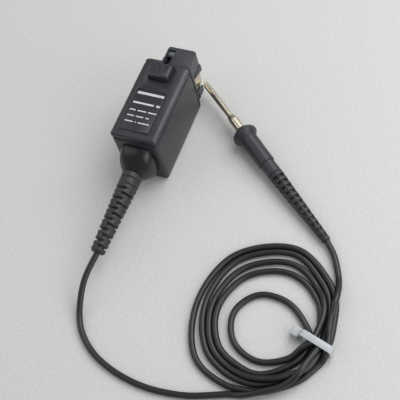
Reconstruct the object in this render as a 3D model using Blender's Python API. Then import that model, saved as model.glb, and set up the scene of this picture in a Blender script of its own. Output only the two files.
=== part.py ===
"""Oscilloscope probe: termination box, tied coaxial cable and probe head.

The box stands on its base with its label face up. +Y is the way the box is
pushed onto the instrument, +X is to its right and +Z is up. The origin is the
centre of the box's bottom face. The cable runs from the rear boot over the
table to a tied coil and on to the probe head, which lies on the table.

Run with: blender --background --python part.py
"""
import math

import bmesh
import bpy
from mathutils import Matrix, Vector

MM = 0.001
GAP = 0.3 * MM  # clearance between pieces that touch or slide

# Termination box
BOX_HALF_WIDTH = 13.0 * MM
BOX_REAR = -25.0 * MM
BOX_FRONT = 23.5 * MM  # front of the main housing, behind the bezel
BOX_HEIGHT = 36.4 * MM
BOX_WALL = 1.6 * MM
BOX_FLOOR = 2.4 * MM
SCREW_PLACES = (-14 * MM, 9 * MM)  # y of the two case screws
WALL_TOP = 32.2 * MM  # outer wall of the main housing, below the seam
RIM_TOP = 33.4 * MM  # top of the main housing's rim
COVER_BOTTOM = RIM_TOP + GAP
BEZEL_BACK = BOX_FRONT + GAP

# Nose on the front of the box
NOSE_LEFT = -3.6 * MM
NOSE_RIGHT = 12.9 * MM
NOSE_FRONT = 35.7 * MM
NOSE_BOTTOM = 26.3 * MM

# Push-on connector
CONNECTOR_Z = 15.0 * MM
CONNECTOR_FRONT = 36.6 * MM
BARREL_RADIUS = 7.2 * MM
BARREL_BORE = 6.0 * MM
SHELL_BACK = 26.3 * MM
SHELL_FRONT = 34.3 * MM
SHELL_HALF_WIDTH = 11.9 * MM
SHELL_HALF_HEIGHT = 8.5 * MM
SHELL_CORNER = 6.0 * MM
SHELL_WALL = 1.0 * MM
HOOD_LEG_BOTTOM = 20.5 * MM
CRADLE_LEG_TOP = 10.8 * MM

# Release button and latch
BUTTON_X = -0.8 * MM
BUTTON_Y = 17.45 * MM
LATCH_PIVOT = (27.5 * MM, 30.0 * MM)  # y, z of the pivot pin

# Spring contacts in the nose
CONTACT_COUNT = 5
CONTACT_PITCH = 1.8 * MM
CONTACT_FIRST_X = 3.6 * MM
CONTACT_Z = 31.3 * MM
CONTACT_HOLE = 0.75 * MM

# Cable, rear boss and box boot
CABLE_RADIUS = 1.6 * MM
CABLE_AXIS_Z = 16.5 * MM
BOOT_START = Vector((0, -36.3, 16.5)) * MM
BOOT_RUN = 45.7 * MM
BOOT_SIDE = -1.4 * MM  # sideways sag at the boot's end
BOOT_DROP = -3.5 * MM  # downward sag at the boot's end
BOOT_START_RADIUS = 5.8 * MM
BOOT_END_RADIUS = 3.8 * MM

# Coil of cable, in polar form about its own centre
COIL_CENTRE = Vector((94, -88, 0)) * MM
COIL_HEIGHT = 5.4 * MM
# angle in degrees, inner radius and outer radius in mm, lift under the tie in mm
COIL_OUTLINE = (
    (-45, 21.5, 32.6, 0.0),
    (-26, 18.0, 32.0, 0.6),
    (-6, 17.2, 31.4, 1.5),
    (12, 17.8, 32.0, 0.6),
    (27, 21.8, 33.4, 0.0),
    (45, 24.1, 35.2, 0.0),
    (90, 26.1, 43.2, 0.0),
    (135, 26.4, 43.4, 0.0),
    (180, 26.2, 40.8, 0.0),
    (225, 26.5, 41.9, 0.0),
    (270, 24.7, 37.3, 0.0),
)
# inner turn of the coil: angle in degrees and radius in mm about COIL_CENTRE
INNER_TURN = (
    (17, 17.5),
    (45, 14.0),
    (90, 13.7),
    (135, 16.7),
    (180, 19.5),
    (225, 20.2),
    (270, 20.0),
    (299, 19.8),
)

# Routes of the free stretches of cable, in mm
BOX_SIDE_ROUTE = (
    (-1.42, -82.35, 12.95),
    (-2.2, -87.5, 12.0),
    (-3.2, -94.0, 10.0),
    (-3.3, -100.5, 7.3),
    (-2.3, -107.5, 4.1),
    (0.0, -114.4, 2.0),
    (5.3, -121.7, 1.65),
    (14.7, -128.8, 1.65),
    (27.0, -133.6, 1.65),
    (40.6, -136.0, 1.65),
    (52.9, -136.0, 1.65),
    (66.9, -133.8, 1.65),
    (78.0, -130.6, 1.65),
    (86.0, -128.0, 1.65),
)
HEAD_SIDE_ROUTE = (
    (119.3, -59.9, 1.65),
    (118.2, -55.9, 1.7),
    (115.4, -49.9, 1.9),
    (111.8, -43.9, 2.3),
    (106.70, -38.28, 2.64),
)

# Cable tie
TIE_CENTRE = Vector((117.9, -91.3, 0)) * MM
TIE_ANGLE = math.radians(-15.2)
TIE_WIDTH = 3.6 * MM
TIE_THICKNESS = 1.0 * MM
TIE_INNER_HALF = 7.9 * MM
TIE_INNER_LOW = 1.1 * MM
TIE_INNER_HIGH = 7.3 * MM

# Probe head: a line through the finger guard and the end of the head's boot
GUARD_CENTRE = Vector((46.4, 8.6, 7.05)) * MM
HEAD_AXIS = Vector((-0.78890, 0.61191, 0.05648)).normalized()
GUARD_RADIUS = 7.0 * MM
GRIP_RADIUS = 5.0 * MM
NECK_RADIUS = 4.0 * MM
HEAD_BOOT_START = -29.7 * MM
HEAD_BOOT_END = -76.1 * MM
SLEEVE_RADIUS = 2.7 * MM
TUBE_RADIUS = 1.7 * MM
TUBE_END = 41.4 * MM


def clear_scene():
    for item in list(bpy.data.objects):
        bpy.data.objects.remove(item, do_unlink=True)


def material(name, colour, roughness, metallic=0.0):
    made = bpy.data.materials.new(name)
    made.use_nodes = True
    shader = made.node_tree.nodes["Principled BSDF"]
    shader.inputs["Base Color"].default_value = (*colour, 1.0)
    shader.inputs["Roughness"].default_value = roughness
    shader.inputs["Metallic"].default_value = metallic
    return made


def empty(name, location, rotation=(0, 0, 0)):
    made = bpy.data.objects.new(name, None)
    made.location = location
    made.rotation_euler = rotation
    bpy.context.collection.objects.link(made)
    return made


def add_mesh(name, bm, finish, parent=None, location=(0, 0, 0), sharp=35):
    """Turns a bmesh into a named object with smooth shading and sharp edges."""
    bmesh.ops.recalc_face_normals(bm, faces=bm.faces)
    mesh = bpy.data.meshes.new(name)
    bm.to_mesh(mesh)
    bm.free()
    mesh.shade_smooth()
    mesh.set_sharp_from_angle(angle=math.radians(sharp))
    if finish:
        mesh.materials.append(finish)
    made = bpy.data.objects.new(name, mesh)
    made.parent = parent
    made.location = location
    bpy.context.collection.objects.link(made)
    return made


def lofted(rings, closed=False):
    """A skin through rings of points; closed joins the last ring to the first."""
    bm = bmesh.new()
    loops = [[bm.verts.new(point) for point in ring] for ring in rings]
    pairs = list(zip(loops, loops[1:]))
    if closed:
        pairs.append((loops[-1], loops[0]))
    for low, high in pairs:
        for index in range(len(low)):
            after = (index + 1) % len(low)
            bm.faces.new((low[index], low[after], high[after], high[index]))
    if not closed:
        bm.faces.new(reversed(loops[0]))
        bm.faces.new(loops[-1])
    return bm


def turned(profile, segments=20, hollow=False):
    """A solid turned about local Z from (along, radius) pairs in metres.

    A hollow profile is a closed outline clear of the axis.
    """
    rings = []
    for along, radius in profile:
        ring = []
        for index in range(segments):
            angle = 2 * math.pi * index / segments
            ring.append((radius * math.cos(angle), radius * math.sin(angle), along))
        rings.append(ring)
    return lofted(rings, closed=hollow)


def extruded(outline, low, high, axis="Y"):
    """A prism: outline in the plane across axis, from low to high along it."""
    place = {
        "X": lambda a, b, c: (c, a, b),
        "Y": lambda a, b, c: (a, c, b),
        "Z": lambda a, b, c: (a, b, c),
    }[axis]
    rings = [[place(a, b, end) for a, b in outline] for end in (low, high)]
    return lofted(rings)


def arc(centre, radius, start, end, steps):
    """Points on a circle from start to end degrees, both ends included."""
    points = []
    for index in range(steps + 1):
        angle = math.radians(start + (end - start) * index / steps)
        across = centre[0] + radius * math.cos(angle)
        up = centre[1] + radius * math.sin(angle)
        points.append((across, up))
    return points


def rounded_box(x_range, y_range, corners, steps=3):
    """A rectangle with elliptical corners, anticlockwise from the rear right.

    corners holds (rx, ry) for rear right, front right, front left, rear left.
    """
    signs = ((1, -1), (1, 1), (-1, 1), (-1, -1))
    starts = (-90, 0, 90, 180)
    points = []
    for (rx, ry), (sx, sy), start in zip(corners, signs, starts):
        centre_x = (x_range[1] - rx) if sx > 0 else (x_range[0] + rx)
        centre_y = (y_range[1] - ry) if sy > 0 else (y_range[0] + ry)
        for index in range(steps + 1):
            angle = math.radians(start + 90 * index / steps)
            points.append((centre_x + rx * math.cos(angle), centre_y + ry * math.sin(angle)))
    return points


def even_box(half_x, half_y, radius, centre=(0, 0), steps=3):
    x_range = (centre[0] - half_x, centre[0] + half_x)
    y_range = (centre[1] - half_y, centre[1] + half_y)
    return rounded_box(x_range, y_range, [(radius, radius)] * 4, steps)


def raised(outline, z):
    return [(x, y, z) for x, y in outline]


def block(x_range, y_range, z_range):
    outline = [
        (x_range[0], y_range[0]),
        (x_range[1], y_range[0]),
        (x_range[1], y_range[1]),
        (x_range[0], y_range[1]),
    ]
    return extruded(outline, z_range[0], z_range[1], axis="Z")


def combine(target, name, bm, operation="DIFFERENCE", parent=None):
    """Cuts a guide shape from target, or joins it to target."""
    guide = add_mesh(name, bm, None, parent)
    guide.hide_render = True
    guide.display_type = "WIRE"
    boolean = target.modifiers.new(name, "BOOLEAN")
    boolean.operation = operation
    boolean.object = guide
    return guide


def bevelled(target, width, segments=2):
    bevel = target.modifiers.new("edge_round", "BEVEL")
    bevel.width = width
    bevel.segments = segments
    bevel.limit_method = "ANGLE"
    bevel.angle_limit = math.radians(40)
    return target


def helix(radius, low, high, turns, steps_per_turn=10):
    points = []
    count = int(turns * steps_per_turn)
    for index in range(count + 1):
        angle = 2 * math.pi * turns * index / count
        z = low + (high - low) * index / count
        points.append(Vector((radius * math.cos(angle), radius * math.sin(angle), z)))
    return points


def smooth_route(points, spacing):
    """Catmull-Rom points about spacing apart through a hand-set route."""
    route = [Vector(point) for point in points]
    padded = [2 * route[0] - route[1]] + route + [2 * route[-1] - route[-2]]
    result = [route[0]]
    for before, start, end, after in zip(padded, padded[1:], padded[2:], padded[3:]):
        steps = max(1, round((end - start).length / spacing))
        for index in range(1, steps + 1):
            t = index / steps
            point = 0.5 * (
                2 * start
                + (end - before) * t
                + (2 * before - 5 * start + 4 * end - after) * t**2
                + (3 * start - before - 3 * end + after) * t**3
            )
            result.append(point)
    return result


def round_wire(name, points, radius, finish, parent=None, location=(0, 0, 0), sides=2):
    """A filled round tube along points, made as a bevelled curve."""
    curve = bpy.data.curves.new(name, "CURVE")
    curve.dimensions = "3D"
    curve.bevel_depth = radius
    curve.bevel_resolution = sides
    curve.use_fill_caps = True
    spline = curve.splines.new("POLY")
    spline.points.add(len(points) - 1)
    for slot, point in zip(spline.points, points):
        slot.co = (*point, 1.0)
    curve.materials.append(finish)
    made = bpy.data.objects.new(name, curve)
    made.parent = parent
    made.location = location
    bpy.context.collection.objects.link(made)
    return made


def side_half_width(z):
    """Half width of the box at a height: widest a little above its middle."""
    bulge = 0.3 * MM * math.sin(math.pi * min(z / RIM_TOP, 1.0))
    foot = 0.5 * MM * max(0.0, 1.0 - z / (3 * MM))
    return BOX_HALF_WIDTH + bulge - foot


def housing_ring(z, inset=0.0):
    half = side_half_width(z) - inset
    rear = max(1.7 * MM - inset, 1.0 * MM)
    front = max(0.8 * MM - inset / 2, 0.3 * MM)
    corners = [(rear, rear), (front, front), (front, front), (rear, rear)]
    outline = rounded_box((-half, half), (BOX_REAR + inset, BOX_FRONT - inset), corners, 4)
    return raised(outline, z)


def make_main_housing(black):
    outer_heights = [0.0, 0.7 * MM, 3 * MM, 10 * MM, 17 * MM, 24 * MM, 30 * MM, WALL_TOP]
    rings = [housing_ring(z, 0.5 * MM if z == 0 else 0.0) for z in outer_heights]
    rings.append(housing_ring(WALL_TOP, 0.8 * MM))
    rings.append(housing_ring(RIM_TOP, 0.8 * MM))
    rings.append(housing_ring(RIM_TOP, BOX_WALL))
    rings.append(housing_ring(BOX_FLOOR, BOX_WALL))
    housing = add_mesh("main_housing", lofted(rings), black)
    rear_y = (BOX_REAR - MM, BOX_REAR + 0.4 * MM)
    rear_step = block((-14 * MM, 14 * MM), rear_y, (31.0 * MM, 34 * MM))
    combine(housing, "cut_rear_step", rear_step)
    connector_room = BARREL_RADIUS + 2 * GAP
    connector = turned([(20 * MM, connector_room), (25 * MM, connector_room)], 24)
    combine(housing, "cut_connector_hole", connector, parent=connector_axis)
    window = block((-9.0 * MM, 11.2 * MM), (21 * MM, 25 * MM), (27.6 * MM, 34 * MM))
    combine(housing, "cut_front_window", window)
    cable = turned([(BOX_REAR - MM, 3.1 * MM), (BOX_REAR + 3 * MM, 3.1 * MM)], 16)
    combine(housing, "cut_cable_hole", cable, parent=cable_axis)
    for index, y in enumerate(SCREW_PLACES, start=1):
        profile = [
            (-MM, 2.6 * MM),
            (1.5 * MM, 2.6 * MM),
            (1.5 * MM, 1.4 * MM),
            (4 * MM, 1.4 * MM),
        ]
        hole = combine(housing, f"cut_screw_hole_{index}", turned(profile, 12))
        hole.location = (0, y, 0)
    return housing


def make_top_cover(black):
    corners = [(MM, MM), (0.2 * MM, 0.2 * MM), (0.8 * MM, 2.2 * MM), (MM, MM)]
    layers = (
        (COVER_BOTTOM, 0.0, 0.0),
        (35.4 * MM, 0.0, 0.0),
        (BOX_HEIGHT - 0.2 * MM, 1.0 * MM, 0.5 * MM),
        (BOX_HEIGHT, 1.7 * MM, 0.9 * MM),
    )
    rings = []
    for z, side, rear in layers:
        half = BOX_HALF_WIDTH - side
        outline = rounded_box((-half, half), (BOX_REAR + rear, BOX_FRONT), corners)
        rings.append(raised(outline, z))
    cover = add_mesh("top_cover", lofted(rings), black)
    panel_corners = [(2.4 * MM, 2.4 * MM)] * 4
    panel = rounded_box((-8.6 * MM, 7.2 * MM), (8.7 * MM, 23.0 * MM), panel_corners)
    combine(cover, "cut_button_panel", extruded(panel, 36.1 * MM, 38 * MM, "Z"))
    opening = even_box(6.5 * MM, 5.1 * MM, 1.9 * MM, (BUTTON_X, BUTTON_Y))
    combine(cover, "cut_button_opening", extruded(opening, 32 * MM, 38 * MM, "Z"))
    label_corners = [(1.6 * MM, 1.6 * MM)] * 4
    label = rounded_box((-9.6 * MM, 7.8 * MM), (-21.2 * MM, 5.6 * MM), label_corners)
    combine(cover, "cut_label_recess", extruded(label, 35.8 * MM, 38 * MM, "Z"))
    groove = block((-8.0 * MM, 2.4 * MM), (6.7 * MM, 7.2 * MM), (36.0 * MM, 38 * MM))
    combine(cover, "cut_short_groove", groove)
    return cover


def make_label_plate(black):
    corners = [(1.3 * MM, 1.3 * MM)] * 4
    outline = rounded_box((-9.2 * MM, 7.4 * MM), (-20.8 * MM, 5.2 * MM), corners)
    return add_mesh("label_plate", extruded(outline, 36.1 * MM, 36.35 * MM, "Z"), black)


def bezel_front(z):
    """Front of the bezel at a height: bowed forward a little above the base."""
    bow = 1.6 * MM * math.sin(math.pi * z / (50 * MM))
    return 24.5 * MM + bow


def make_front_housing(black):
    rings = []
    heights = (0.6 * MM, 2 * MM, 8 * MM, 14 * MM, 20 * MM, 26 * MM, 32 * MM, 35.4 * MM, 36.3 * MM)
    for z in heights:
        half = side_half_width(z) - (0.6 * MM if z > 36 * MM else 0.0)
        front = bezel_front(z) - (0.3 * MM if z > 36 * MM else 0.0)
        deep = (front - BEZEL_BACK) * 0.8
        back = (0.1 * MM, 0.1 * MM)
        corners = [back, (0.7 * MM, deep * 0.6), (3.0 * MM, deep), back]
        rings.append(raised(rounded_box((-half, half), (BEZEL_BACK, front), corners), z))
    housing = add_mesh("front_housing", lofted(rings), black)
    nose_rings = []
    nose_layers = (
        (NOSE_BOTTOM, 0.4 * MM),
        (26.8 * MM, 0.0),
        (35.9 * MM, 0.0),
        (BOX_HEIGHT, 0.4 * MM),
    )
    for z, inset in nose_layers:
        back = (0.1 * MM, 0.1 * MM)
        corners = [back, (2.0 * MM, 2.0 * MM), (1.4 * MM, 1.4 * MM), back]
        sides = (NOSE_LEFT + inset, NOSE_RIGHT - inset)
        nose_rings.append(raised(rounded_box(sides, (24.2 * MM, NOSE_FRONT - inset), corners), z))
    combine(housing, "join_nose", lofted(nose_rings), "UNION")
    slot = block((-2.7 * MM, 1.3 * MM), (23 * MM, 33.5 * MM), (28.0 * MM, 40 * MM))
    combine(housing, "cut_latch_slot", slot)
    pocket = block((2.5 * MM, 11.8 * MM), (23 * MM, 34.0 * MM), (28.2 * MM, 34.6 * MM))
    combine(housing, "cut_contact_pocket", pocket)
    connector_room = BARREL_RADIUS + 2 * GAP
    connector = turned([(20 * MM, connector_room), (30 * MM, connector_room)], 24)
    combine(housing, "cut_bezel_hole", connector, parent=connector_axis)
    pin = turned([(-3.8 * MM, 0.8 * MM), (2.4 * MM, 0.8 * MM)], 10)
    guide = combine(housing, "cut_pivot_hole", pin, parent=latch_axis)
    guide.rotation_euler = (0, math.pi / 2, 0)
    combine(housing, "cut_contact_holes", contact_holes(CONTACT_HOLE, 26.2 * MM, 37 * MM))
    return housing


def contact_places():
    return [CONTACT_FIRST_X + index * CONTACT_PITCH for index in range(CONTACT_COUNT)]


def contact_holes(radius, low, high):
    """Five round cutters in a row along Y, as one guide shape."""
    bm = bmesh.new()
    for x in contact_places():
        front = arc((x, CONTACT_Z), radius, 0, 330, 11)
        loops = [[bm.verts.new((a, y, b)) for a, b in front] for y in (low, high)]
        for index in range(12):
            after = (index + 1) % 12
            bm.faces.new((loops[0][index], loops[0][after], loops[1][after], loops[1][index]))
        bm.faces.new(reversed(loops[0]))
        bm.faces.new(loops[1])
    return bm


def make_contacts(plastic, gold):
    body = block((2.75 * MM, 11.55 * MM), (27 * MM, 33.7 * MM), (28.5 * MM, 34.3 * MM))
    carrier = add_mesh("contact_carrier", body, plastic)
    combine(carrier, "cut_carrier_holes", contact_holes(CONTACT_HOLE, 26 * MM, 35 * MM))
    profile = [
        (26.9 * MM, 0.35 * MM),
        (30.0 * MM, 0.35 * MM),
        (30.0 * MM, 0.5 * MM),
        (32.0 * MM, 0.5 * MM),
        (32.0 * MM, 0.35 * MM),
        (35.9 * MM, 0.35 * MM),
        (36.3 * MM, 0.18 * MM),
    ]
    for index, x in enumerate(contact_places(), start=1):
        axis = empty(f"contact_axis_{index}", (x, 0, CONTACT_Z), (-math.pi / 2, 0, 0))
        add_mesh(f"spring_contact_{index}", turned(profile, 8), gold, axis)


def make_button(black, steel):
    flange_y = BUTTON_Y - 0.4 * MM  # the flange clears the housing's front wall
    layers = (
        (32.4, 7.1, 4.3, 1.6, flange_y),
        (33.1, 7.1, 4.3, 1.6, flange_y),
        (33.5, 6.15, 4.75, 1.6, BUTTON_Y),
        (38.6, 5.9, 4.6, 1.6, BUTTON_Y),
        (39.3, 5.6, 4.3, 1.5, BUTTON_Y),
        (39.6, 4.9, 3.6, 1.2, BUTTON_Y),
    )
    rings = []
    for z, half_x, half_y, radius, centre_y in layers:
        outline = even_box(half_x * MM, half_y * MM, radius * MM, (BUTTON_X, centre_y))
        rings.append(raised(outline, z * MM))
    button = add_mesh("release_button", lofted(rings), black)
    stem = block((-2.0 * MM, 0.6 * MM), (18.9 * MM, 20.2 * MM), (31.35 * MM, 32.9 * MM))
    combine(button, "join_button_stem", stem, "UNION")
    for index, (x, y) in enumerate(((-2.1, 19.1), (1.4, 19.3)), start=1):
        dimple = turned([(38.9 * MM, 0.45 * MM), (39.8 * MM, 1.2 * MM)], 16)
        guide = combine(button, f"cut_dimple_{index}", dimple)
        guide.location = (x * MM, y * MM, 0)
    coil = helix(1.5 * MM, 27.6 * MM, 31.9 * MM, 4)
    round_wire("button_spring", coil, 0.25 * MM, steel, None, (BUTTON_X, 15.2 * MM, 0), 1)


def make_latch(steel):
    pivot_y, pivot_z = LATCH_PIVOT
    outline = [
        (18.4, 29.3),
        (25.9, 29.3),
        (26.6, 28.6),
        (28.4, 28.6),
        (30.9, 29.2),
        (33.0, 31.4),
        (33.0, 35.2),
        (32.5, 35.7),
        (30.6, 35.7),
        (29.6, 34.7),
        (30.9, 34.3),
        (30.9, 31.9),
        (30.2, 31.4),
        (26.6, 31.4),
        (25.9, 31.0),
        (18.4, 31.0),
    ]
    local = [(y * MM - pivot_y, z * MM - pivot_z) for y, z in outline]
    lever = add_mesh("latch_lever", extruded(local, -2.3 * MM, 0.9 * MM, "X"), steel, latch_axis)
    hole = turned([(-4 * MM, 0.75 * MM), (2 * MM, 0.75 * MM)], 12)
    guide = combine(lever, "cut_lever_hole", hole, parent=latch_axis)
    guide.rotation_euler = (0, math.pi / 2, 0)
    pin_body = turned([(-3.5 * MM, 0.45 * MM), (2.1 * MM, 0.45 * MM)], 12)
    pin = add_mesh("latch_pivot_pin", pin_body, steel, latch_axis)
    pin.rotation_euler = (0, math.pi / 2, 0)


def make_inner_carrier(plastic):
    """A portal that carries the button spring over the connector."""
    outline = [
        (-11.0, 15.3),
        (-9.6, 15.3),
        (-9.6, 25.6),
        (9.6, 25.6),
        (9.6, 15.3),
        (11.0, 15.3),
        (11.0, 27.0),
        (-11.0, 27.0),
    ]
    points = [(x * MM, z * MM) for x, z in outline]
    add_mesh("button_carrier", extruded(points, 11 * MM, 21.8 * MM, "Y"), plastic)


def shell_outline(offset):
    half_x = SHELL_HALF_WIDTH + offset
    half_z = SHELL_HALF_HEIGHT + offset
    return even_box(half_x, half_z, SHELL_CORNER + offset, (0, CONNECTOR_Z), 5)


def make_connector(black, nickel, plastic, gold):
    rings = []
    for offset, y in (
        (0, SHELL_BACK),
        (0, SHELL_FRONT - 0.4 * MM),
        (-0.4 * MM, SHELL_FRONT),
        (-SHELL_WALL, SHELL_FRONT),
        (-SHELL_WALL, SHELL_BACK),
    ):
        rings.append([(x, y, z) for x, z in shell_outline(offset)])
    add_mesh("ground_shell", lofted(rings, closed=True), nickel)

    room = SHELL_CORNER + GAP
    centre_x = SHELL_HALF_WIDTH - SHELL_CORNER
    top_z = CONNECTOR_Z + SHELL_HALF_HEIGHT - SHELL_CORNER
    low_z = CONNECTOR_Z - SHELL_HALF_HEIGHT + SHELL_CORNER
    half = BOX_HALF_WIDTH
    hood_angle = math.degrees(math.asin((HOOD_LEG_BOTTOM - top_z) / room))
    cradle_angle = math.degrees(math.asin((CRADLE_LEG_TOP - low_z) / room))
    upper = [(half, HOOD_LEG_BOTTOM)]
    upper += arc((half - 1.6 * MM, 24.4 * MM), 1.6 * MM, 0, 90, 4)
    upper += arc((-half + 1.6 * MM, 24.4 * MM), 1.6 * MM, 90, 180, 4)
    upper.append((-half, HOOD_LEG_BOTTOM))
    upper += arc((-centre_x, top_z), room, 180 - hood_angle, 90, 5)
    upper += arc((centre_x, top_z), room, 90, hood_angle, 5)
    hood = add_mesh("upper_shroud", extruded(upper, SHELL_BACK, 35.4 * MM), black)
    below = ((26, 23.8), (35.2, 20.4), (37, 20.4), (37, 10), (26, 10))
    slope = extruded([(y * MM, z * MM) for y, z in below], -14 * MM, 14 * MM, "X")
    combine(hood, "cut_hood_slope", slope)
    relief = block((-14 * MM, -9 * MM), (30 * MM, 37 * MM), (18 * MM, 28 * MM))
    combine(hood, "cut_hood_relief", relief)

    lower = [(-half, CRADLE_LEG_TOP)]
    lower += arc((-half + 2.6 * MM, 6.8 * MM), 2.6 * MM, 180, 270, 4)
    lower += arc((half - 2.6 * MM, 6.8 * MM), 2.6 * MM, 270, 360, 4)
    lower.append((half, CRADLE_LEG_TOP))
    lower += arc((centre_x, low_z), room, cradle_angle, -90, 5)
    lower += arc((-centre_x, low_z), room, -90, -180 - cradle_angle, 5)
    add_mesh("lower_shroud", extruded(lower, SHELL_BACK, 32.0 * MM), black)

    barrel = add_mesh(
        "connector_barrel",
        turned(
            [
                (19.5 * MM, BARREL_RADIUS),
                (CONNECTOR_FRONT - 0.4 * MM, BARREL_RADIUS),
                (CONNECTOR_FRONT, BARREL_RADIUS - 0.3 * MM),
                (CONNECTOR_FRONT, BARREL_BORE),
                (19.5 * MM, BARREL_BORE),
            ],
            28,
            hollow=True,
        ),
        nickel,
        connector_axis,
    )
    slots = block((-9 * MM, 9 * MM), (-1.1 * MM, 1.1 * MM), (28.5 * MM, 40 * MM))
    combine(barrel, "cut_bayonet_slots", slots, parent=connector_axis)
    bore = 1.0 * MM
    insulator = [
        (19.9 * MM, BARREL_BORE - GAP),
        (24.0 * MM, BARREL_BORE - GAP),
        (24.0 * MM, 2.4 * MM),
        (30.0 * MM, 2.4 * MM),
        (30.0 * MM, bore),
        (19.9 * MM, bore),
    ]
    add_mesh("connector_insulator", turned(insulator, 20, hollow=True), plastic, connector_axis)
    contact = [(17.9 * MM, 0.7 * MM), (30.4 * MM, 0.7 * MM), (30.9 * MM, 0.35 * MM)]
    add_mesh("centre_contact", turned(contact, 10), gold, connector_axis)


def make_board(green, black, steel, plastic):
    board = block((-10.8 * MM, 10.8 * MM), (-20 * MM, 17.4 * MM), (13.4 * MM, 15.0 * MM))
    add_mesh("circuit_board", board, green)
    chip_body = block((-6 * MM, -1 * MM), (-5 * MM, 1 * MM), (15.3 * MM, 16.6 * MM))
    chip = add_mesh("memory_chip", chip_body, black)
    bevelled(chip, 0.2 * MM, 1)
    trimmer = [(15.3 * MM, 2.2 * MM), (18.0 * MM, 2.2 * MM), (18.4 * MM, 1.8 * MM)]
    part = add_mesh("trimmer_capacitor", turned(trimmer, 16), plastic)
    part.location = (4.5 * MM, -4 * MM, 0)
    body = [(-3 * MM, 0.7 * MM), (-2.6 * MM, 1.0 * MM), (2.6 * MM, 1.0 * MM), (3 * MM, 0.7 * MM)]
    resistor = add_mesh("termination_resistor", turned(body, 10), steel)
    resistor.location = (0, 5.5 * MM, 16.4 * MM)
    resistor.rotation_euler = (0, math.pi / 2, 0)
    for index, y in enumerate(SCREW_PLACES, start=1):
        profile = [
            (0.4 * MM, 2.0 * MM),
            (1.2 * MM, 2.2 * MM),
            (1.2 * MM, 1.0 * MM),
            (13.0 * MM, 1.0 * MM),
        ]
        screw = add_mesh(f"case_screw_{index}", turned(profile, 12), steel)
        screw.location = (0, y, 0)
        tube = [
            (2.7 * MM, 2.6 * MM),
            (13.1 * MM, 2.6 * MM),
            (13.1 * MM, 1.4 * MM),
            (2.7 * MM, 1.4 * MM),
        ]
        standoff = add_mesh(f"board_standoff_{index}", turned(tube, 12, hollow=True), plastic)
        standoff.location = (0, y, 0)


def make_rear_boss(black):
    """The bulb on the rear face that anchors the boot."""
    stations = (
        (-25.3, 9.8, 12.6, 3.2),
        (-27.0, 9.8, 12.4, 3.0),
        (-29.5, 9.6, 11.4, 2.7),
        (-31.8, 8.9, 9.8, 2.4),
        (-33.8, 7.6, 8.0, 2.2),
        (-35.2, 6.3, 6.4, 2.0),
        (-36.0, 5.4, 5.4, 2.0),
    )
    rings = []
    for y, half_x, half_z, power in stations:
        ring = []
        for index in range(28):
            angle = 2 * math.pi * index / 28
            across = math.copysign(abs(math.cos(angle)) ** (2 / power), math.cos(angle))
            up = math.copysign(abs(math.sin(angle)) ** (2 / power), math.sin(angle))
            ring.append((half_x * across * MM, y * MM, CABLE_AXIS_Z + half_z * up * MM))
        rings.append(ring)
    bore = 3.1 * MM
    for y in (-36.0, -25.3):
        ring = []
        for index in range(28):
            angle = 2 * math.pi * index / 28
            up = CABLE_AXIS_Z + bore * math.sin(angle)
            ring.append((bore * math.cos(angle), y * MM, up))
        rings.append(ring)
    add_mesh("rear_boss", lofted(rings, closed=True), black)


def boot_radius(distance, length, start, end, pitch):
    """A taper with a shallow groove cut at the end of each pitch."""
    taper = start + (end - start) * distance / length
    return taper if (distance / pitch) % 1.0 < 0.75 else taper - 0.5 * MM


def boot_stations(length, pitch):
    """Distances along a boot, with a step in and out for every groove."""
    tiny = 0.01 * MM
    stations = [0.0]
    index = 0
    while (index + 1) * pitch < length - 2 * MM:
        start = (index + 0.75) * pitch
        end = (index + 1) * pitch
        stations += [start - tiny, start + tiny, end - tiny, end + tiny]
        index += 1
    stations.append(length)
    return stations


def box_boot_point(t):
    side = BOOT_SIDE * t * t
    drop = BOOT_DROP * t * t
    return BOOT_START + Vector((side, -BOOT_RUN * t, drop))


def make_box_boot(black):
    length = BOOT_RUN
    rings = []
    for distance in boot_stations(length, 5.1 * MM):
        t = distance / length
        centre = box_boot_point(t)
        along = (box_boot_point(t + 0.01) - box_boot_point(t - 0.01)).normalized()
        side = along.cross(Vector((0, 0, 1))).normalized()
        up = side.cross(along)
        radius = boot_radius(distance, length, BOOT_START_RADIUS, BOOT_END_RADIUS, 5.1 * MM)
        ring = []
        for index in range(16):
            angle = 2 * math.pi * index / 16
            ring.append(centre + radius * (math.cos(angle) * side + math.sin(angle) * up))
        rings.append(ring)
    add_mesh("box_boot", lofted(rings), black)


def make_cable_exit(steel, copper):
    ferrule = [
        (-35.0 * MM, 2.7 * MM),
        (-21.5 * MM, 2.7 * MM),
        (-21.5 * MM, 1.7 * MM),
        (-35.0 * MM, 1.7 * MM),
    ]
    add_mesh("cable_ferrule", turned(ferrule, 16, hollow=True), steel, cable_axis)
    core = turned([(-35.6 * MM, 1.3 * MM), (-18.5 * MM, 1.3 * MM)], 10)
    add_mesh("cable_core", core, copper, cable_axis)


def coil_value(angle, column):
    """Smooth periodic value from COIL_OUTLINE at an angle in degrees."""
    angles = [row[0] for row in COIL_OUTLINE]
    turn = (angle - angles[0]) % 360 + angles[0]
    low = max(index for index, start in enumerate(angles) if start <= turn)
    high = (low + 1) % len(angles)
    span = (angles[high] - angles[low]) % 360
    t = (turn - angles[low]) / span
    blend = t * t * (3 - 2 * t)
    return COIL_OUTLINE[low][column] * (1 - blend) + COIL_OUTLINE[high][column] * blend


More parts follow.
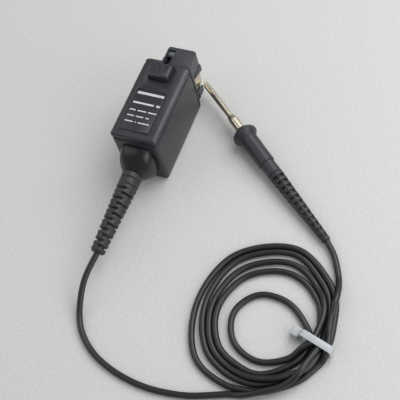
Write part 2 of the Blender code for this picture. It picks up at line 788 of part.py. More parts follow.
def make_cable(rubber):
    section = (
        (0.12, 0),
        (0.88, 0),
        (1, 0.3),
        (1, 0.7),
        (0.88, 1),
        (0.12, 1),
        (0, 0.7),
        (0, 0.3),
    )
    box_side = smooth_route([Vector(point) * MM for point in BOX_SIDE_ROUTE], 7 * MM)
    round_wire("cable_box_side", box_side, CABLE_RADIUS, rubber)
    head_side = smooth_route([Vector(point) * MM for point in HEAD_SIDE_ROUTE], 5 * MM)
    round_wire("cable_head_side", head_side, CABLE_RADIUS, rubber)
    inner = []
    for angle, radius in INNER_TURN:
        turn = math.radians(angle)
        point = Vector((radius * math.cos(turn), radius * math.sin(turn), 1.65)) * MM
        inner.append(COIL_CENTRE + point)
    round_wire("cable_inner_turn", smooth_route(inner, 5 * MM), CABLE_RADIUS, rubber)

    rings = []
    for index in range(48):
        angle = 360 * index / 48
        inner_radius = coil_value(angle, 1) * MM
        outer_radius = coil_value(angle, 2) * MM
        lift = coil_value(angle, 3) * MM
        direction = Vector((math.cos(math.radians(angle)), math.sin(math.radians(angle)), 0))
        width = outer_radius - inner_radius
        ring = []
        for across, up in section:
            point = COIL_CENTRE + direction * (inner_radius + width * across)
            ring.append(point + Vector((0, 0, lift + COIL_HEIGHT * up)))
        rings.append(ring)
    add_mesh("cable_coil", lofted(rings, closed=True), rubber)


def make_tie(nylon):
    """The strap goes round the bundle and through a head beside it."""
    middle = (TIE_INNER_LOW + TIE_INNER_HIGH) / 2
    half_z = (TIE_INNER_HIGH - TIE_INNER_LOW) / 2
    inner = even_box(TIE_INNER_HALF, half_z, 1.2 * MM, (0, middle), 3)
    outer_x = TIE_INNER_HALF + TIE_THICKNESS
    outer = even_box(outer_x, half_z + TIE_THICKNESS, 2.0 * MM, (0, middle), 3)
    half = TIE_WIDTH / 2
    rings = [
        [(x, -half, z) for x, z in outer],
        [(x, half, z) for x, z in outer],
        [(x, half, z) for x, z in inner],
        [(x, -half, z) for x, z in inner],
    ]
    axis = empty("tie_frame", TIE_CENTRE, (0, 0, TIE_ANGLE))
    add_mesh("tie_strap", lofted(rings, closed=True), nylon, axis)
    right = -TIE_INNER_HALF - TIE_THICKNESS - GAP
    head_body = block((right - 4.8 * MM, right), (-2.6 * MM, 2.6 * MM), (0.2 * MM, 4.9 * MM))
    head = add_mesh("tie_head", head_body, nylon, axis)
    bevelled(head, 0.8 * MM, 2)


def make_head(black, rubber, nickel, plastic, gold, steel, green):
    """The probe head, with local Z running from the boot to the tip."""
    grip = [
        (-21.8 * MM, 4.2 * MM),
        (-21.3 * MM, 4.6 * MM),
        (-12.0 * MM, 4.75 * MM),
        (-3.6 * MM, GRIP_RADIUS),
        (-2.6 * MM, 5.6 * MM),
        (-1.4 * MM, 6.6 * MM),
        (-0.6 * MM, GUARD_RADIUS),
        (0.5 * MM, GUARD_RADIUS),
        (1.4 * MM, 6.7 * MM),
        (2.4 * MM, 5.6 * MM),
        (3.9 * MM, 3.9 * MM),
        (4.2 * MM, 3.4 * MM),
        (4.2 * MM, 3.1 * MM),
        (-5.9 * MM, 3.1 * MM),
        (-6.2 * MM, 3.4 * MM),
        (-21.8 * MM, 3.4 * MM),
    ]
    add_mesh("grip_sleeve", turned(grip, 32, hollow=True), black, head_axis)
    body = [
        (-29.4 * MM, 3.7 * MM),
        (-29.1 * MM, NECK_RADIUS),
        (-22.1 * MM, NECK_RADIUS),
        (-22.1 * MM, 3.1 * MM),
        (-6.6 * MM, 3.1 * MM),
        (-6.6 * MM, 2.4 * MM),
        (-29.4 * MM, 2.4 * MM),
    ]
    add_mesh("head_body", turned(body, 24, hollow=True), black, head_axis)
    rings = []
    length = HEAD_BOOT_START - HEAD_BOOT_END
    for distance in boot_stations(length, 4.3 * MM):
        radius = boot_radius(distance, length, 4.2 * MM, 2.3 * MM, 4.3 * MM)
        rings.append((HEAD_BOOT_START - distance, radius))
    add_mesh("head_boot", turned(list(reversed(rings)), 16), rubber, head_axis)
    sleeve = [
        (-6.2 * MM, SLEEVE_RADIUS),
        (11.6 * MM, SLEEVE_RADIUS),
        (14.6 * MM, 2.15 * MM),
        (14.6 * MM, 2.0 * MM),
        (-6.2 * MM, 2.0 * MM),
    ]
    add_mesh("ground_sleeve", turned(sleeve, 24, hollow=True), nickel, head_axis)
    tube = [
        (3.0 * MM, TUBE_RADIUS),
        (TUBE_END - 0.2 * MM, TUBE_RADIUS),
        (TUBE_END, TUBE_RADIUS - 0.15 * MM),
        (TUBE_END, 1.25 * MM),
        (3.0 * MM, 1.25 * MM),
    ]
    add_mesh("barrel_tube", turned(tube, 24, hollow=True), nickel, head_axis)
    insulator = [
        (37.5 * MM, 0.95 * MM),
        (41.7 * MM, 0.95 * MM),
        (41.7 * MM, 0.55 * MM),
        (37.5 * MM, 0.55 * MM),
    ]
    add_mesh("tip_insulator", turned(insulator, 16, hollow=True), plastic, head_axis)
    pin = [
        (34.5 * MM, 0.25 * MM),
        (34.5 * MM, 0.8 * MM),
        (35.6 * MM, 0.8 * MM),
        (35.6 * MM, 0.25 * MM),
        (42.7 * MM, 0.25 * MM),
        (43.3 * MM, 0.08 * MM),
    ]
    add_mesh("tip_pin", turned(pin, 10), gold, head_axis)
    coil = helix(0.65 * MM, 29.4 * MM, 33.9 * MM, 5, 8)
    round_wire("tip_spring", coil, 0.13 * MM, steel, head_axis, (0, 0, 0), 1)
    attenuator = [
        (8 * MM, 0.6 * MM),
        (8.4 * MM, 0.9 * MM),
        (26 * MM, 0.9 * MM),
        (26.4 * MM, 0.6 * MM),
    ]
    add_mesh("tip_attenuator", turned(attenuator, 12), plastic, head_axis)
    board = block((-1.9 * MM, 1.9 * MM), (-0.5 * MM, 0.5 * MM), (-27 * MM, -8 * MM))
    add_mesh("head_circuit_board", board, green, head_axis)


clear_scene()
connector_axis = empty("connector_axis", (0, 0, CONNECTOR_Z), (-math.pi / 2, 0, 0))
cable_axis = empty("cable_axis", (0, 0, CABLE_AXIS_Z), (-math.pi / 2, 0, 0))
latch_axis = empty("latch_axis", (0, *LATCH_PIVOT))
head_axis = empty("head_axis", GUARD_CENTRE)
head_axis.rotation_euler = HEAD_AXIS.to_track_quat("Z", "Y").to_euler()

BLACK = material("black_plastic", (0.045, 0.05, 0.055), 0.5)
GLOSS = material("gloss_black", (0.02, 0.022, 0.026), 0.25)
RUBBER = material("black_rubber", (0.04, 0.042, 0.048), 0.55)
NICKEL = material("nickel", (0.62, 0.6, 0.55), 0.25, 1.0)
STEEL = material("steel", (0.5, 0.5, 0.5), 0.35, 1.0)
GOLD = material("gold_plate", (0.85, 0.62, 0.25), 0.25, 1.0)
COPPER = material("copper", (0.75, 0.4, 0.25), 0.3, 1.0)
PLASTIC = material("pale_plastic", (0.75, 0.74, 0.7), 0.4)
BOARD = material("board_green", (0.05, 0.22, 0.1), 0.5)
NYLON = material("tie_nylon", (0.82, 0.84, 0.85), 0.35)

make_main_housing(BLACK)
make_top_cover(BLACK)
make_label_plate(BLACK)
make_front_housing(BLACK)
make_contacts(PLASTIC, GOLD)
make_button(BLACK, STEEL)
make_latch(STEEL)
make_inner_carrier(PLASTIC)
make_connector(BLACK, NICKEL, PLASTIC, GOLD)
make_board(BOARD, BLACK, STEEL, PLASTIC)
make_rear_boss(GLOSS)
make_box_boot(RUBBER)
make_cable_exit(STEEL, COPPER)
make_cable(RUBBER)
make_tie(NYLON)
make_head(BLACK, RUBBER, NICKEL, PLASTIC, GOLD, STEEL, BOARD)
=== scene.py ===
"""Looks of the oscilloscope probe: materials, cord, boots, tie, label, light and camera."""
import math

import bmesh
import bpy
import numpy as np
from mathutils import Matrix, Vector


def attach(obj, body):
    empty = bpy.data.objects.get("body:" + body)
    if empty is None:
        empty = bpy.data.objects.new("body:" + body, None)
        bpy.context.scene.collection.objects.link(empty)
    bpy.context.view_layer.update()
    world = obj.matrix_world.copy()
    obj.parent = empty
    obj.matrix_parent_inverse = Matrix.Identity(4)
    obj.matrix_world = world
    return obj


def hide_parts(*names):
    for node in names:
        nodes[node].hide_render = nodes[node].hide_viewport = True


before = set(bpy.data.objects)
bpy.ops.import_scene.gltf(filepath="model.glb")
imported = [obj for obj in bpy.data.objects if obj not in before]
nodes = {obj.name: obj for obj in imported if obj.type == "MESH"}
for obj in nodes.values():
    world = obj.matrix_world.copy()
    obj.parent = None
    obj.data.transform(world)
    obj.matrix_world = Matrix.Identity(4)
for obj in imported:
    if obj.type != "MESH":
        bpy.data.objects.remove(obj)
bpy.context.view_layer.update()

MM = 0.001

# Cable and its route in mm: the free stretches follow the CAD's
CABLE_DIAMETER = 3.2
BOX_EXIT = (-1.42, -82.35, 12.95)
BOX_SIDE_ROUTE = (
    BOX_EXIT,
    (-2.2, -87.5, 12.0),
    (-3.2, -94.0, 10.0),
    (-3.3, -100.5, 7.3),
    (-2.3, -107.5, 4.1),
    (0.0, -114.4, 2.0),
    (5.3, -121.7, 1.65),
    (14.7, -128.8, 1.65),
    (27.0, -133.6, 1.65),
    (40.6, -136.0, 1.65),
    (52.9, -136.0, 1.65),
    (66.9, -133.8, 1.8),
    (78.0, -130.6, 3.5),
)
COIL_CENTRE = (94.0, -88.0)
# winding about COIL_CENTRE: running angle in degrees, radius and height in mm
WINDING = (
    (-89, 37.4, 7.0),
    (-75, 34.3, 7.0),
    (-61.5, 32.6, 7.0),
    (-48, 29.6, 7.0),
    (-32, 26.9, 6.5),
    (-18, 25.5, 4.5),
    (0, 26.5, 3.0),
    (45, 31.4, 2.0),
    (90, 38.3, 2.0),
    (135, 38.2, 2.0),
    (180, 34.7, 2.0),
    (225, 33.6, 2.0),
    (270, 31.0, 2.0),
    (315, 28.5, 2.0),
    (345, 25.5, 3.0),
    (360, 24.0, 3.0),
    (405, 25.8, 2.0),
    (450, 27.8, 2.0),
    (495, 28.1, 2.0),
    (540, 27.9, 2.0),
    (585, 28.2, 2.0),
    (630, 26.4, 2.0),
    (675, 23.0, 2.5),
    (705, 20.8, 3.0),
    (720, 19.8, 4.0),
    (765, 14.0, 1.7),
    (810, 13.7, 1.7),
    (855, 16.7, 1.7),
    (900, 19.5, 1.7),
    (945, 20.2, 1.7),
    (990, 20.0, 2.0),
    (1035, 19.6, 3.0),
    (1065, 19.6, 4.0),
    (1080, 22.0, 5.5),
    (1125, 28.5, 5.0),
    (1170, 33.1, 5.0),
    (1215, 32.9, 5.0),
    (1260, 31.2, 5.0),
    (1305, 30.3, 5.0),
    (1350, 28.2, 5.0),
    (1395, 27.5, 5.0),
    (1425, 27.4, 5.0),
    (1440, 29.5, 5.0),
    (1485, 33.4, 5.5),
    (1530, 41.5, 5.0),
    (1575, 41.7, 4.0),
    (1620, 39.0, 3.0),
    (1665, 40.2, 3.0),
    (1710, 35.6, 4.0),
    (1755, 30.9, 5.5),
    (1785, 29.8, 4.5),
    (1800, 28.2, 6.0),
    (1817, 28.0, 8.0),
    (1829, 29.8, 8.0),
    (1839, 33.2, 6.0),
    (1846, 36.8, 4.2),
)
HEAD_SIDE_ROUTE = (
    (118.2, -55.9, 1.7),
    (115.4, -49.9, 1.9),
    (111.8, -43.9, 2.3),
    (106.70, -38.28, 2.64),
)

# How the cable is laid, in mm
LINE_STEP = 1.8
SETTLE_ROUNDS = 420
ENTRY_POINTS = 110  # points of the line whose place is meant at their own height
TURN_HEIGHT = 3.0  # height at which the places of all other points are meant
SIGHT_LEAN = (0.22, -0.32)  # shift in plan for each mm above that, along the line of sight
FREE_FROM_END = 20  # points at each end that keep their own height

# Tie: centre in plan, turn and the room inside its strap, in mm
TIE_CENTRE = (117.9, -91.3)
TIE_ANGLE = math.radians(-15.2)
TIE_HALF_ROOM = 7.9
TIE_LOW = 1.1
TIE_HIGH = 7.3
TIE_REACH = 2.8  # half the length of cable that the strap holds
TIE_CATCH = 14.0  # how far to the side it gathers the turns

# Boots, in mm
BOOT_START = Vector((0, -36.3, 16.5))
BOOT_RUN = 45.7
BOOT_SIDE = -1.4
BOOT_DROP = -3.5
BOOT_START_RADIUS = 5.75
BOOT_END_RADIUS = 3.75
BOOT_END_ROUND = 1.4
BOOT_FIRST_SLOT = 9.85  # distance of the first slot along the boot
BOOT_SLOT_PITCH = 5.93
GUARD_CENTRE = Vector((46.4, 8.6, 7.05))
HEAD_AXIS = Vector((-0.78890, 0.61191, 0.05648)).normalized()
HEAD_BOOT_START = 29.7
HEAD_BOOT_LENGTH = 46.4
HEAD_BOOT_RADII = (4.15, 2.3)
HEAD_WINDOW_PITCH = 3.65
HEAD_WINDOW_ROWS = 6

# Bars on the label, in mm
LABEL_TOP = 36.34
BAR_THICKNESS = 0.06


# ---------------------------------------------------------------- mesh helpers


def mesh_piece(name, bm, finish, sharp=40):
    """A bmesh in metres as a piece, smooth except at sharp edges."""
    bmesh.ops.recalc_face_normals(bm, faces=bm.faces)
    mesh = bpy.data.meshes.new(name)
    bm.to_mesh(mesh)
    bm.free()
    mesh.shade_smooth()
    mesh.set_sharp_from_angle(angle=math.radians(sharp))
    mesh.materials.append(finish)
    made = bpy.data.objects.new(name, mesh)
    bpy.context.scene.collection.objects.link(made)
    return made


def loft(bm, rings, closed=False, caps=True):
    """Skins rings of points in mm into bm."""
    loops = [[bm.verts.new(Vector(point) * MM) for point in ring] for ring in rings]
    pairs = list(zip(loops, loops[1:]))
    if closed:
        pairs.append((loops[-1], loops[0]))
    for low, high in pairs:
        for index in range(len(low)):
            after = (index + 1) % len(low)
            bm.faces.new((low[index], low[after], high[after], high[index]))
    if caps and not closed:
        bm.faces.new(reversed(loops[0]))
        bm.faces.new(loops[-1])


def smoothstep(low, high, value):
    t = min(max((value - low) / (high - low), 0.0), 1.0)
    return t * t * (3 - 2 * t)


def bump_window(value, half, soft):
    """1 within half of zero, falling to 0 over soft."""
    return 1.0 - smoothstep(half, half + soft, abs(value))


def angle_from(angle, centre):
    return (angle - centre + 180.0) % 360.0 - 180.0


# ------------------------------------------------------------------- materials


def link(tree, source, target):
    tree.links.new(source, target)


def surface(
    name,
    colour,
    roughness,
    metallic=0.0,
    mottle=0.12,
    mottle_scale=260.0,
    grain_scale=5200.0,
    grain=0.25,
    rough_spread=0.08,
    worn=0.0,
    **fixed,
):
    """A procedural finish: mottled colour, uneven gloss, fine grain and worn edges."""
    made = bpy.data.materials.new(name)
    made.use_nodes = True
    tree = made.node_tree
    shader = tree.nodes["Principled BSDF"]
    shader.inputs["Metallic"].default_value = metallic
    for socket, value in fixed.items():
        shader.inputs[socket.replace("_", " ")].default_value = value
    place = tree.nodes.new("ShaderNodeTexCoord")

    broad = tree.nodes.new("ShaderNodeTexNoise")
    broad.inputs["Scale"].default_value = mottle_scale
    broad.inputs["Detail"].default_value = 5.0
    link(tree, place.outputs["Object"], broad.inputs["Vector"])
    ramp = tree.nodes.new("ShaderNodeValToRGB")
    ramp.color_ramp.elements[0].position = 0.3
    ramp.color_ramp.elements[1].position = 0.7
    ramp.color_ramp.elements[0].color = (*[c * (1 - mottle) for c in colour], 1)
    ramp.color_ramp.elements[1].color = (*[min(c * (1 + mottle), 1.0) for c in colour], 1)
    link(tree, broad.outputs["Fac"], ramp.inputs["Fac"])
    shade = ramp.outputs["Color"]
    if worn:
        edges = tree.nodes.new("ShaderNodeNewGeometry")
        pick = tree.nodes.new("ShaderNodeMapRange")
        pick.inputs["From Min"].default_value = 0.53
        pick.inputs["From Max"].default_value = 0.66
        pick.inputs["To Max"].default_value = worn
        link(tree, edges.outputs["Pointiness"], pick.inputs["Value"])
        mix = tree.nodes.new("ShaderNodeMix")
        mix.data_type = "RGBA"
        mix.inputs[7].default_value = (*[min(c * 3.2 + 0.01, 1.0) for c in colour], 1)
        link(tree, pick.outputs["Result"], mix.inputs[0])
        link(tree, shade, mix.inputs[6])
        shade = mix.outputs[2]
    link(tree, shade, shader.inputs["Base Color"])

    spread = tree.nodes.new("ShaderNodeMapRange")
    spread.inputs["To Min"].default_value = max(roughness - rough_spread, 0.02)
    spread.inputs["To Max"].default_value = min(roughness + rough_spread, 1.0)
    link(tree, broad.outputs["Fac"], spread.inputs["Value"])
    link(tree, spread.outputs["Result"], shader.inputs["Roughness"])

    fine = tree.nodes.new("ShaderNodeTexNoise")
    fine.inputs["Scale"].default_value = grain_scale
    fine.inputs["Detail"].default_value = 2.0
    link(tree, place.outputs["Object"], fine.inputs["Vector"])
    bump = tree.nodes.new("ShaderNodeBump")
    bump.inputs["Strength"].default_value = grain
    bump.inputs["Distance"].default_value = 0.00006
    link(tree, fine.outputs["Fac"], bump.inputs["Height"])
    link(tree, bump.outputs["Normal"], shader.inputs["Normal"])
    return made


BLACK = surface("spark_black_plastic", (0.023, 0.025, 0.030), 0.38, grain=0.5, worn=0.3)
BUTTON = surface("button_black_plastic", (0.022, 0.024, 0.029), 0.36, grain=0.4, worn=0.3)
LABEL = surface("label_film", (0.020, 0.022, 0.027), 0.34, grain=0.12, mottle=0.06)
GLOSS = surface("polished_black", (0.006, 0.007, 0.009), 0.3, grain=0.0, rough_spread=0.03)
RUBBER = surface("boot_rubber", (0.022, 0.023, 0.026), 0.44, grain=0.45, worn=0.25)
CABLE = surface("cable_jacket", (0.012, 0.013, 0.015), 0.34, grain=0.15, mottle=0.18)
GRIP = surface("grip_plastic", (0.022, 0.024, 0.028), 0.4, grain=0.35, worn=0.2)
NICKEL = surface("nickel_plate", (0.63, 0.57, 0.46), 0.24, 1.0, mottle=0.05, grain=0.0)
STEEL = surface("plain_steel", (0.5, 0.5, 0.49), 0.34, 1.0, mottle=0.1, grain=0.3)
HOOK = surface("dark_latch_steel", (0.16, 0.17, 0.17), 0.4, 0.6, mottle=0.2, grain=0.3)
GOLD = surface("gold_plate", (0.83, 0.6, 0.24), 0.24, 1.0, mottle=0.08, grain=0.1)
COPPER = surface("bare_copper", (0.72, 0.38, 0.24), 0.32, 1.0, grain=0.3)
PALE = surface("pale_moulding", (0.72, 0.71, 0.66), 0.42, grain=0.2, mottle=0.05)
BOARD = surface("solder_mask", (0.03, 0.16, 0.07), 0.34, grain=0.2, mottle=0.25)
NYLON = surface("tie_nylon", (0.46, 0.49, 0.51), 0.3, grain=0.1, mottle=0.05)
INK = surface("label_ink", (0.56, 0.56, 0.56), 0.5, grain=0.1, mottle=0.08)

FINISHES = {
    BLACK: (
        "main_housing",
        "top_cover",
        "front_housing",
        "upper_shroud",
        "lower_shroud",
        "memory_chip",
    ),
    BUTTON: ("release_button",),
    LABEL: ("label_plate",),
    GRIP: ("grip_sleeve", "head_body"),
    NICKEL: ("ground_shell", "connector_barrel", "ground_sleeve", "barrel_tube"),
    STEEL: (
        "button_spring",
        "latch_pivot_pin",
        "tip_spring",
        "cable_ferrule",
        "case_screw_1",
        "case_screw_2",
        "termination_resistor",
    ),
    HOOK: ("latch_lever",),
    GOLD: ("centre_contact", "tip_pin") + tuple(f"spring_contact_{i}" for i in range(1, 6)),
    COPPER: ("cable_core",),
    PALE: (
        "contact_carrier",
        "button_carrier",
        "connector_insulator",
        "trimmer_capacitor",
        "board_standoff_1",
        "board_standoff_2",
        "tip_insulator",
        "tip_attenuator",
    ),
    BOARD: ("circuit_board", "head_circuit_board"),
    NYLON: ("tie_strap", "tie_head"),
}

# Rounded edges on CAD pieces, in mm
EDGE_ROUND = {
    "main_housing": 0.25,
    "top_cover": 0.2,
    "front_housing": 0.35,
    "release_button": 0.12,
    "upper_shroud": 0.3,
    "lower_shroud": 0.3,
    "tie_strap": 0.2,
    "latch_lever": 0.2,
    "label_plate": 0.05,
}


def finish_cad():
    for finish, names in FINISHES.items():
        for name in names:
            piece = nodes[name]
            piece.data.materials.clear()
            piece.data.materials.append(finish)
            piece.data.shade_smooth()
            piece.data.set_sharp_from_angle(angle=math.radians(35))
    for name, width in EDGE_ROUND.items():
        weld = nodes[name].modifiers.new("weld", "WELD")
        weld.merge_threshold = 0.000002
        bevel = nodes[name].modifiers.new("edge_round", "BEVEL")
        bevel.width = width * MM
        bevel.segments = 2
        bevel.limit_method = "ANGLE"
        bevel.angle_limit = math.radians(38)
        bevel.harden_normals = False


# ------------------------------------------------------------------------ cord


def spline_points(route, step):
    """Catmull-Rom points through a route, about a third of step apart."""
    padded = np.vstack([2 * route[0] - route[1], route, 2 * route[-1] - route[-2]])
    points = [route[0]]
    for before, start, end, after in zip(padded, padded[1:], padded[2:], padded[3:]):
        count = max(1, int(round(np.linalg.norm(end - start) / step * 3)))
        t = (np.arange(1, count + 1) / count)[:, None]
        points.extend(
            0.5
            * (
                2 * start
                + (end - before) * t
                + (2 * before - 5 * start + 4 * end - after) * t**2
                + (3 * start - before - 3 * end + after) * t**3
            )
        )
    return np.array(points)


def even_points(points, step):
    """The same line with points step apart."""
    along = np.r_[0, np.cumsum(np.linalg.norm(np.diff(points, axis=0), axis=1))]
    count = int(round(along[-1] / step))
    stops = np.linspace(0, along[-1], count + 1)
    return np.stack([np.interp(stops, along, points[:, axis]) for axis in range(3)], axis=1)


def settle_cable():
    """Lays the cable's line so that its turns rest on each other inside the tie."""
    radius = CABLE_DIAMETER / 2
    apart = CABLE_DIAMETER * 1.01
    route = [np.array(point, float) for point in BOX_SIDE_ROUTE]
    for angle, distance, height in WINDING:
        turn = math.radians(angle)
        x = COIL_CENTRE[0] + distance * math.cos(turn)
        y = COIL_CENTRE[1] + distance * math.sin(turn)
        route.append(np.array((x, y, height)))
    route += [np.array(point, float) for point in HEAD_SIDE_ROUTE]
    points = even_points(spline_points(np.array(route), LINE_STEP), LINE_STEP)
    home = points.copy()
    count = len(points)
    from_end = np.minimum(np.arange(count), count - 1 - np.arange(count))
    hold = 0.05 + 0.55 * np.exp(-((from_end / 7.0) ** 2))
    home_height = np.where(np.arange(count) < ENTRY_POINTS, home[:, 2], TURN_HEIGHT)
    loose = from_end > FREE_FROM_END
    across = np.array((math.cos(TIE_ANGLE), math.sin(TIE_ANGLE)))
    along = np.array((-across[1], across[0]))
    first, second = np.triu_indices(count, int(3 * apart / LINE_STEP) + 1)
    for settle_round in range(SETTLE_ROUNDS):
        if settle_round % 12 == 0:
            close = ((points[first] - points[second]) ** 2).sum(1) < (apart + 3) ** 2
            left, right = first[close], second[close]
        bend = np.zeros_like(points)
        bend[1:-1] = (points[:-2] + points[2:]) / 2 - points[1:-1]
        stiff = np.zeros_like(points)
        stiff[1:-1] = (bend[:-2] + bend[2:]) / 2 - bend[1:-1]
        points = points - 0.4 * stiff + 0.012 * bend
        lean = (points[:, 2] - home_height)[:, None] * np.array(SIGHT_LEAN)
        points[:, :2] += hold[:, None] * (home[:, :2] + lean - points[:, :2])
        points[loose, 2] -= 0.02
        points[~loose, 2] += hold[~loose] * (home[~loose, 2] - points[~loose, 2])
        for _ in range(2):
            gap = points[left] - points[right]
            distance = np.sqrt((gap**2).sum(1)) + 1e-9
            touch = distance < apart
            a, b = left[touch], right[touch]
            reach = (apart - distance[touch]) / 2 / distance[touch]
            shove = gap[touch] * reach[:, None]
            move = np.zeros_like(points)
            hits = np.zeros(count)
            np.add.at(move, a, shove)
            np.add.at(move, b, -shove)
            np.add.at(hits, a, 1)
            np.add.at(hits, b, 1)
            points += move / np.maximum(1, hits * 0.45)[:, None]
            plan = points[:, :2] - np.array(TIE_CENTRE)
            sideways = plan @ across
            inside = (np.abs(plan @ along) < TIE_REACH) & (np.abs(sideways) < TIE_CATCH)
            room = TIE_HALF_ROOM - radius - 0.1
            shift = (np.clip(sideways, -room, room) - sideways) * inside
            points[:, :2] += shift[:, None] * across[None, :] * 0.3
            low = np.where(inside, TIE_LOW + radius + 0.05, radius + 0.02)
            high = np.where(inside, TIE_HIGH - radius - 0.05, 1e9)
            points[:, 2] = np.clip(points[:, 2], low, high)
        points[0], points[-1] = home[0], home[-1]
    return points


def make_cable():
    points = settle_cable()
    curve = bpy.data.curves.new("cable", "CURVE")
    curve.dimensions = "3D"
    curve.bevel_depth = CABLE_DIAMETER / 2 * MM
    curve.bevel_resolution = 5
    curve.use_fill_caps = True
    spline = curve.splines.new("POLY")
    spline.points.add(len(points) - 1)
    for slot, point in zip(spline.points, points):
        slot.co = (*(Vector(point) * MM), 1.0)
    spline.use_smooth = True
    curve.materials.append(CABLE)
    cable = bpy.data.objects.new("cable", curve)
    bpy.context.scene.collection.objects.link(cable)
    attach(cable, "probe")
    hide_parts("cable_box_side", "cable_coil", "cable_inner_turn", "cable_head_side")


# ----------------------------------------------------------------------- boots


def box_boot_axis(t):
    return BOOT_START + Vector((BOOT_SIDE * t * t, -BOOT_RUN * t, BOOT_DROP * t * t))


def box_boot_radius(distance, angle):
    """Radius of the box's boot at a distance along it and an angle round it."""
    taper = BOOT_START_RADIUS + (BOOT_END_RADIUS - BOOT_START_RADIUS) * distance / BOOT_RUN
    pitch = BOOT_SLOT_PITCH
    first = BOOT_FIRST_SLOT
    depth = 0.0
    # two plain ring grooves, then slots that alternate from side to side
    depth += 0.45 * bump_window(distance - 3.0, 0.18, 0.25)
    right = bump_window(angle_from(angle, -12.0), 98.0, 6.0)
    left = bump_window(angle_from(angle, 168.0), 98.0, 6.0)
    depth += 0.3 * right * bump_window(distance - (first - pitch / 2), 0.15, 0.25)
    for index in range(6):
        reach = 1.25 * (0.75 + 0.25 * taper / BOOT_START_RADIUS)
        depth += reach * left * bump_window(distance - first - pitch * index, 0.42, 0.3)
        middle = first + pitch * (index + 0.5)
        depth += reach * right * bump_window(distance - middle, 0.42, 0.3)
    swell = 0.14 * math.cos(2 * math.pi * (distance - first) / (pitch / 2) + math.pi)
    if distance < 6.0:
        swell = 0.0
    to_end = min(BOOT_RUN - distance, BOOT_END_ROUND)
    tuck = 1.1 * (1 - math.sqrt(max(0.0, 1 - (1 - to_end / BOOT_END_ROUND) ** 2)))
    return taper + swell - depth - tuck


def make_box_boot():
    bm = bmesh.new()
    rings = []
    count = 190
    around = 72
    for index in range(count + 1):
        t = index / count
        centre = box_boot_axis(t)
        along = (box_boot_axis(t + 0.01) - box_boot_axis(t - 0.01)).normalized()
        side = Vector((0, 0, 1)).cross(along).normalized()
        up = along.cross(side).normalized()
        ring = []
        for step in range(around):
            angle = 360.0 * step / around
            radius = box_boot_radius(t * BOOT_RUN, angle)
            turn = math.radians(angle)
            ring.append(centre + radius * (math.cos(turn) * side + math.sin(turn) * up))
        rings.append(ring)
    loft(bm, rings)
    boot = mesh_piece("box_boot_detail", bm, RUBBER, 50)
    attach(boot, "probe")
    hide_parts("box_boot")


def make_rear_boss():
    """The glossy bulb behind the box, finer than the CAD's."""
    stations = np.array(
        (
            (-25.3, 9.8, 12.6, 3.2),
            (-27.0, 9.8, 12.4, 3.0),
            (-29.5, 9.6, 11.4, 2.7),
            (-31.8, 8.9, 9.8, 2.4),
            (-33.8, 7.6, 8.0, 2.2),
            (-35.2, 6.3, 6.4, 2.0),
            (-36.0, 5.4, 5.4, 2.0),
        )
    )
    rings = []
    around = 96
    for y, half_x, half_z, power in spline_points(stations, 1.2):
        ring = []
        for step in range(around):
            turn = 2 * math.pi * step / around
            across = math.copysign(abs(math.cos(turn)) ** (2 / power), math.cos(turn))
            up = math.copysign(abs(math.sin(turn)) ** (2 / power), math.sin(turn))
            ring.append((half_x * across, y, BOOT_START.z + half_z * up))
        rings.append(ring)
    bore = [(3.1 * math.cos(t), 3.1 * math.sin(t)) for t in np.arange(around) * math.tau / around]
    for y in (-36.0, -25.3):
        rings.append([(x, y, BOOT_START.z + z) for x, z in bore])
    bm = bmesh.new()
    loft(bm, rings, closed=True)
    boss = mesh_piece("rear_boss_detail", bm, GLOSS)
    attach(boss, "probe")
    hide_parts("rear_boss")


def head_boot_radius(distance, angle):
    """Radius of the head's boot: six rows of windows with ribs between them."""
    start_radius, end_radius = HEAD_BOOT_RADII
    taper = start_radius + (end_radius - start_radius) * distance / HEAD_BOOT_LENGTH
    pitch = HEAD_WINDOW_PITCH
    depth = 0.0
    place = (distance - 3.4) / pitch
    nearest = min(max(round(place), 0), 11)
    along = bump_window((place - nearest) * pitch, 0.75, 0.25)
    for row in range(HEAD_WINDOW_ROWS):
        centre = -34.0 + 360.0 / HEAD_WINDOW_ROWS * row
        across = bump_window(angle_from(angle, centre), 20.0, 4.0)
        depth += 1.3 * across * along * taper / start_radius
    start = 0.25 * (1 - smoothstep(0.0, 0.5, distance))
    end = 0.3 * smoothstep(HEAD_BOOT_LENGTH - 0.5, HEAD_BOOT_LENGTH, distance)
    return taper - depth - start - end


def make_head_boot():
    bm = bmesh.new()
    up = (Vector((0, 0, 1)) - HEAD_AXIS * HEAD_AXIS.z).normalized()
    side = HEAD_AXIS.cross(up)
    rings = []
    count = 210
    around = 80
    for index in range(count + 1):
        distance = HEAD_BOOT_LENGTH * index / count
        centre = GUARD_CENTRE - HEAD_AXIS * (HEAD_BOOT_START + distance)
        ring = []
        for step in range(around):
            angle = 360.0 * step / around
            turn = math.radians(angle)
            radius = head_boot_radius(distance, angle)
            ring.append(centre + radius * (math.cos(turn) * up + math.sin(turn) * side))
        rings.append(ring)
    loft(bm, rings)
    boot = mesh_piece("head_boot_detail", bm, RUBBER, 50)
    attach(boot, "probe")
    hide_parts("head_boot")


# ----------------------------------------------------------------------- label


def rounded_slab(bm, x_range, y_range, low, high, radius):
    """A thin rounded rectangle, in mm."""
    outline = []
    corners = (
        (x_range[1] - radius, y_range[0] + radius, -90),
        (x_range[1] - radius, y_range[1] - radius, 0),
        (x_range[0] + radius, y_range[1] - radius, 90),
        (x_range[0] + radius, y_range[0] + radius, 180),
    )
    for x, y, start in corners:
        for step in range(5):
            turn = math.radians(start + 22.5 * step)
            outline.append((x + radius * math.cos(turn), y + radius * math.sin(turn)))
    loft(bm, [[(x, y, z) for x, y in outline] for z in (low, high)])


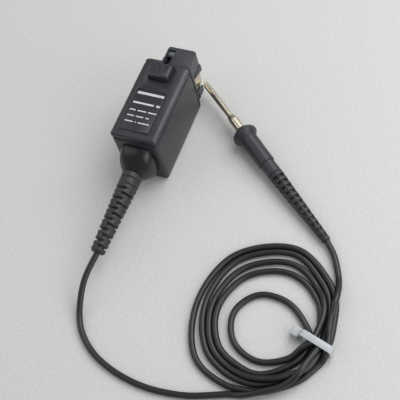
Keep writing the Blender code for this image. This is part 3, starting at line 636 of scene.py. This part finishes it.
def make_label_bars():
    """Plain bars where a label's lines would be."""
    # place along the box, height of the bar and its spans across the label
    rows = (
        (2.9, 1.5, ((-8.4, 7.0),)),
        (-3.4, 1.1, ((-8.4, 3.6), (5.0, 7.2))),
        (-8.1, 0.7, ((-8.5, -4.9), (-3.9, 1.2), (2.2, 7.2))),
        (-11.7, 0.7, ((-8.4, -4.4), (-3.4, 1.0), (2.2, 4.2))),
        (-15.3, 0.7, ((-8.4, -3.6), (-2.6, -1.8), (-0.8, 5.8))),
    )
    bm = bmesh.new()
    for y, height, spans in rows:
        y_range = (y - height / 2, y + height / 2)
        corner = min(0.3, height / 2.2)
        for span in spans:
            rounded_slab(bm, span, y_range, LABEL_TOP, LABEL_TOP + BAR_THICKNESS, corner)
    bars = mesh_piece("label_bars", bm, INK)
    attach(bars, "probe")


# --------------------------------------------------------------- stage and view


def make_floor():
    bm = bmesh.new()
    size = 1.6
    corners = [bm.verts.new((x * size, y * size, 0)) for x, y in ((-1, -1), (1, -1), (1, 1), (-1, 1))]
    bm.faces.new(corners)
    finish = surface(
        "table_top", (0.6, 0.597, 0.588), 0.6, mottle=0.06, mottle_scale=700.0, grain_scale=1500.0
    )
    mesh_piece("table_top", bm, finish)


def make_light(name, place, size, power, target=(0.05, -0.05, 0.0)):
    lamp = bpy.data.lights.new(name, "AREA")
    lamp.energy = power
    lamp.size = size
    made = bpy.data.objects.new(name, lamp)
    made.location = place
    facing = Vector(target) - Vector(place)
    made.rotation_euler = facing.to_track_quat("-Z", "Y").to_euler()
    bpy.context.scene.collection.objects.link(made)


def make_stage():
    make_floor()
    world = bpy.data.worlds.new("soft_room")
    world.use_nodes = True
    backdrop = world.node_tree.nodes["Background"]
    backdrop.inputs["Color"].default_value = (0.97, 0.985, 1.0, 1.0)
    backdrop.inputs["Strength"].default_value = 0.34
    bpy.context.scene.world = world
    make_light("key_light", (0.35, 0.45, 0.75), 0.8, 6.9)
    make_light("fill_light", (-0.6, -0.1, 0.6), 0.8, 1.6)
    make_light("side_light", (0.75, -0.2, 0.35), 0.6, 2.4)


def make_camera():
    lens = bpy.data.cameras.new("camera")
    lens.sensor_width = 36.0
    lens.lens = 76.5
    lens.clip_start = 0.01
    camera = bpy.data.objects.new("camera", lens)
    right = Vector((0.91724, 0.35744, -0.17583)).normalized()
    look = Vector((-0.31974, 0.39736, -0.86016))
    up = right.cross(look).normalized()
    look = up.cross(right)
    place = Vector((0.17968, -0.21305, 0.39115))
    rows = [[right[i], up[i], -look[i], place[i]] for i in range(3)]
    camera.matrix_world = Matrix(rows + [[0, 0, 0, 1]])
    bpy.context.scene.collection.objects.link(camera)
    bpy.context.scene.camera = camera
    bpy.context.scene.view_settings.view_transform = "Standard"


make_camera()
make_cable()
finish_cad()
make_rear_boss()
make_box_boot()
make_head_boot()
make_label_bars()
make_stage()
